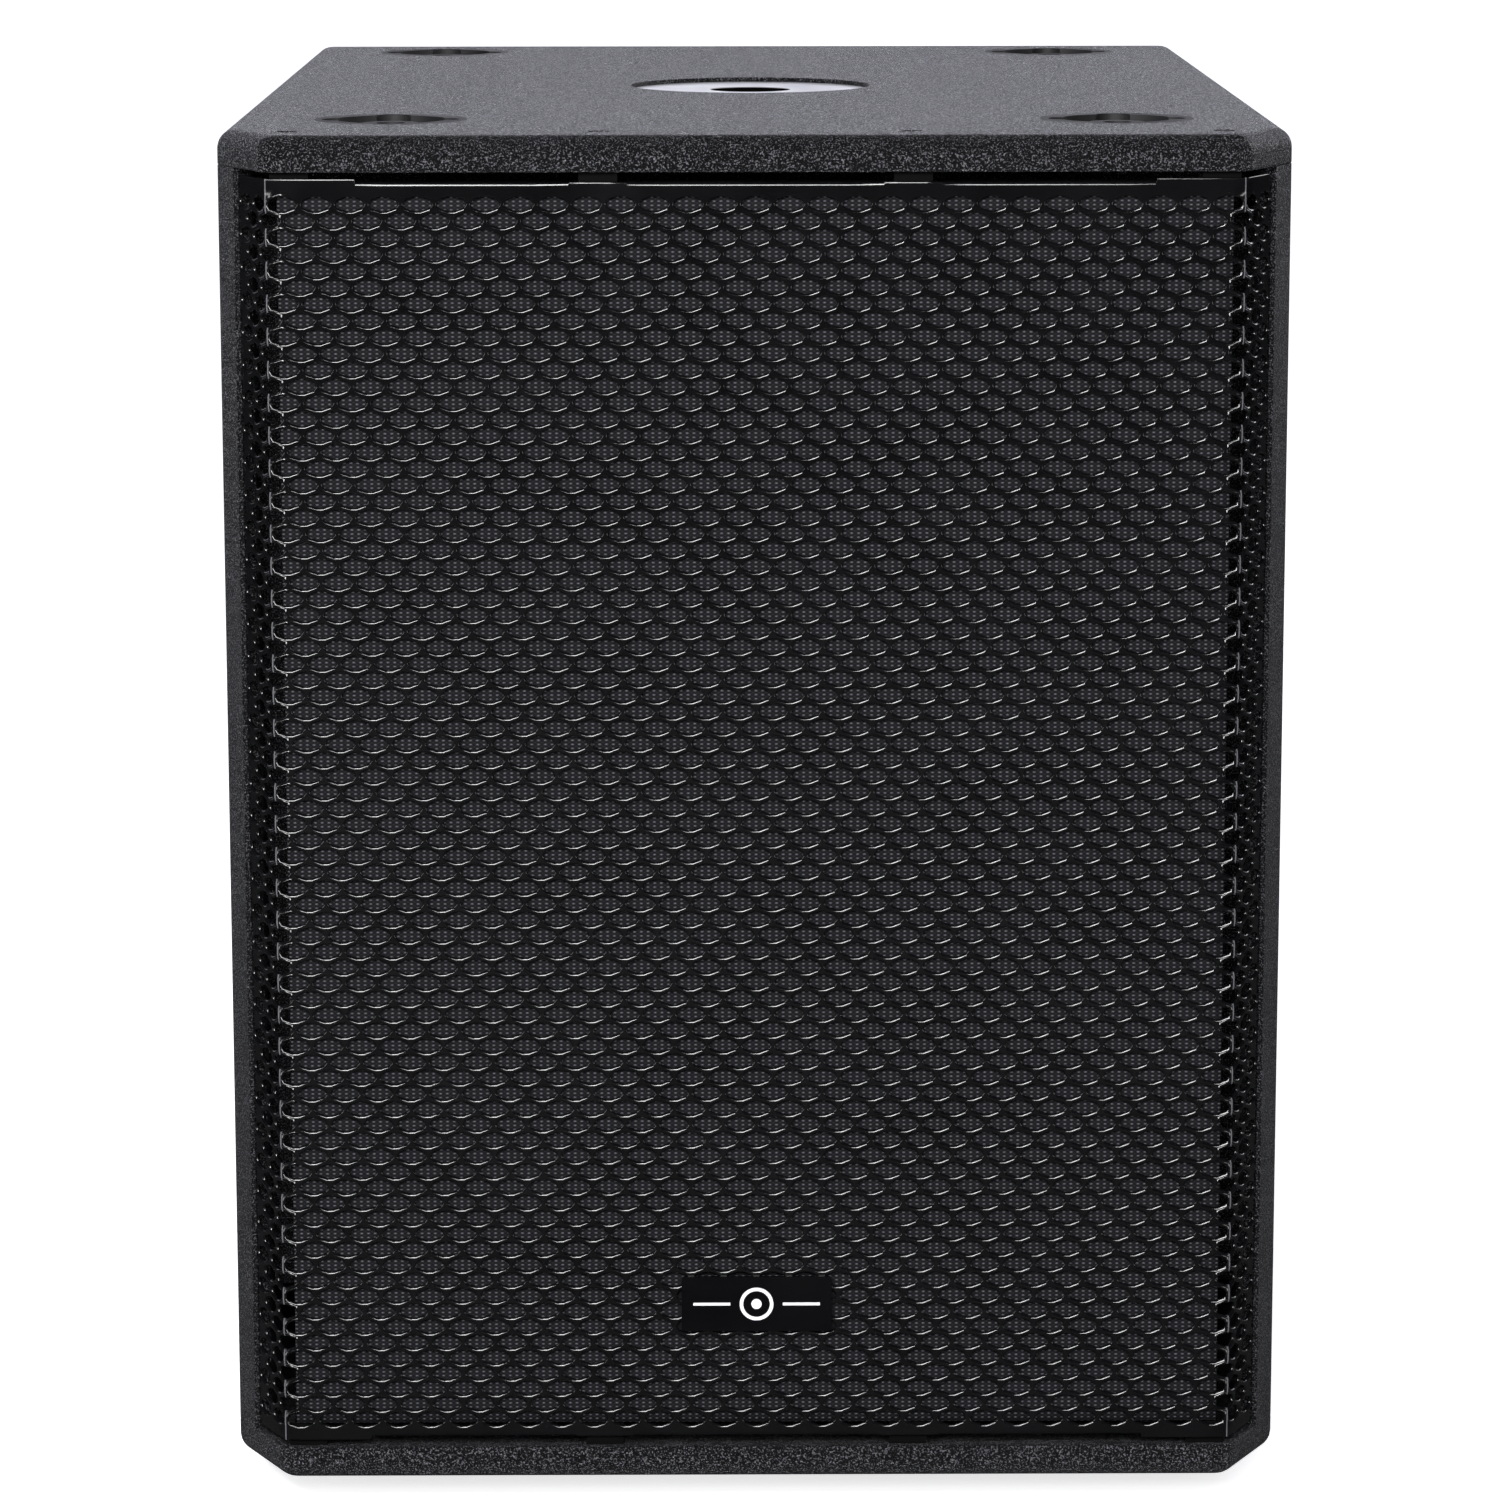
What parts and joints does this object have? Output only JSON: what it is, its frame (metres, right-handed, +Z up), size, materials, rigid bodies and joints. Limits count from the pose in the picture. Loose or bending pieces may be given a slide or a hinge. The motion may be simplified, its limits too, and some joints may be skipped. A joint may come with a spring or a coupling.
{
  "type": "pa speaker cabinet",
  "caption": "Passive bass-reflex PA speaker cabinet with a folded perforated steel grille, pole socket, stacking cups, bar handles and a moving cone.",
  "frame": {"origin": "on the floor under the middle of the cabinet", "axes": "+Z up, -Y towards the grille, +X to the right when the grille is faced"},
  "size_m": [0.4596, 0.65, 0.587],
  "materials": {
    "coated_wood": "textured black coat over plywood",
    "bare_wood": "bare plywood",
    "wadding": "polyester wadding",
    "grille_steel": "satin black powder coat",
    "scrim_cloth": "fine open mesh",
    "badge_black": "satin",
    "badge_white": "satin",
    "plated_steel": "zinc plated",
    "black_screws": "black oxide",
    "moulded_plastic": "fine grain",
    "rubber": "matt",
    "painted_plate": "satin black",
    "socket_plastic": "moulded",
    "brass_contacts": "plain",
    "cone_paper": "coated paper",
    "spider_cloth": "resin treated cloth",
    "former_foil": "film",
    "copper_wire": "enamelled copper",
    "ferrite": "sintered ferrite",
    "circuit_board": "glass epoxy",
    "capacitor_sleeve": "shrink sleeve",
    "ceramic": "cement",
    "wire_sleeve": "soft sleeve"
  },
  "bodies": {
    "cabinet": {"badge": "badge_black", "badge_emblem": "badge_white", "baffle": "coated_wood", "board_screws": "black_screws", "board_standoffs": "moulded_plastic", "bottom_panel": "coated_wood", "capacitors": "capacitor_sleeve", "crossover_board": "circuit_board", "driver_basket": "painted_plate", "driver_bolts": "black_screws", "driver_gasket": "rubber", "driver_leads": "wire_sleeve", "driver_terminals": "socket_plastic", "foot_bolts": "black_screws", "front_left_stacking_cup": "moulded_plastic", "front_right_stacking_cup": "moulded_plastic", "grille": "grille_steel", "grille_screws": "black_screws", "grille_scrim": "scrim_cloth", "grille_tabs": "grille_steel", "inductor_bobbin": "moulded_plastic", "inductor_winding": "copper_wire", "input_leads": "wire_sleeve", "input_plate": "painted_plate", "input_socket": "socket_plastic", "left_handle_cup": "moulded_plastic", "left_handle_grip": "rubber", "left_side_panel": "coated_wood", "link_socket": "socket_plastic", "magnet": "ferrite", "pole_cup": "plated_steel", "pole_cup_nut": "plated_steel", "pole_yoke": "plated_steel", "port_divider": "bare_wood", "port_shelf": "bare_wood", "power_resistor": "ceramic", "rear_left_stacking_cup": "moulded_plastic", "rear_panel": "coated_wood", "rear_right_stacking_cup": "moulded_plastic", "rear_wadding": "wadding", "right_handle_cup": "moulded_plastic", "right_handle_grip": "rubber", "right_side_panel": "coated_wood", "rubber_feet": "rubber", "side_wadding": "wadding", "socket_contacts": "brass_contacts", "socket_screws": "black_screws", "spider": "spider_cloth", "stacking_cup_nuts": "plated_steel", "stacking_cup_screws": "black_screws", "surround": "rubber", "tee_nuts": "plated_steel", "top_panel": "coated_wood", "top_plate": "plated_steel", "trim_screws": "black_screws", "window_brace": "bare_wood"},
    "cone_assembly": {"cone": "cone_paper", "dust_cap": "cone_paper", "voice_coil_former": "former_foil", "voice_coil": "copper_wire"}
  },
  "joints": [
    {"name": "cone_travel", "type": "slide", "parent": "cabinet", "child": "cone_assembly", "axis": [0, -1, 0], "range_m": [-0.008, 0.008], "stiffness_N_per_m": 6000, "deforming": ["surround", "spider"]}
  ]
}
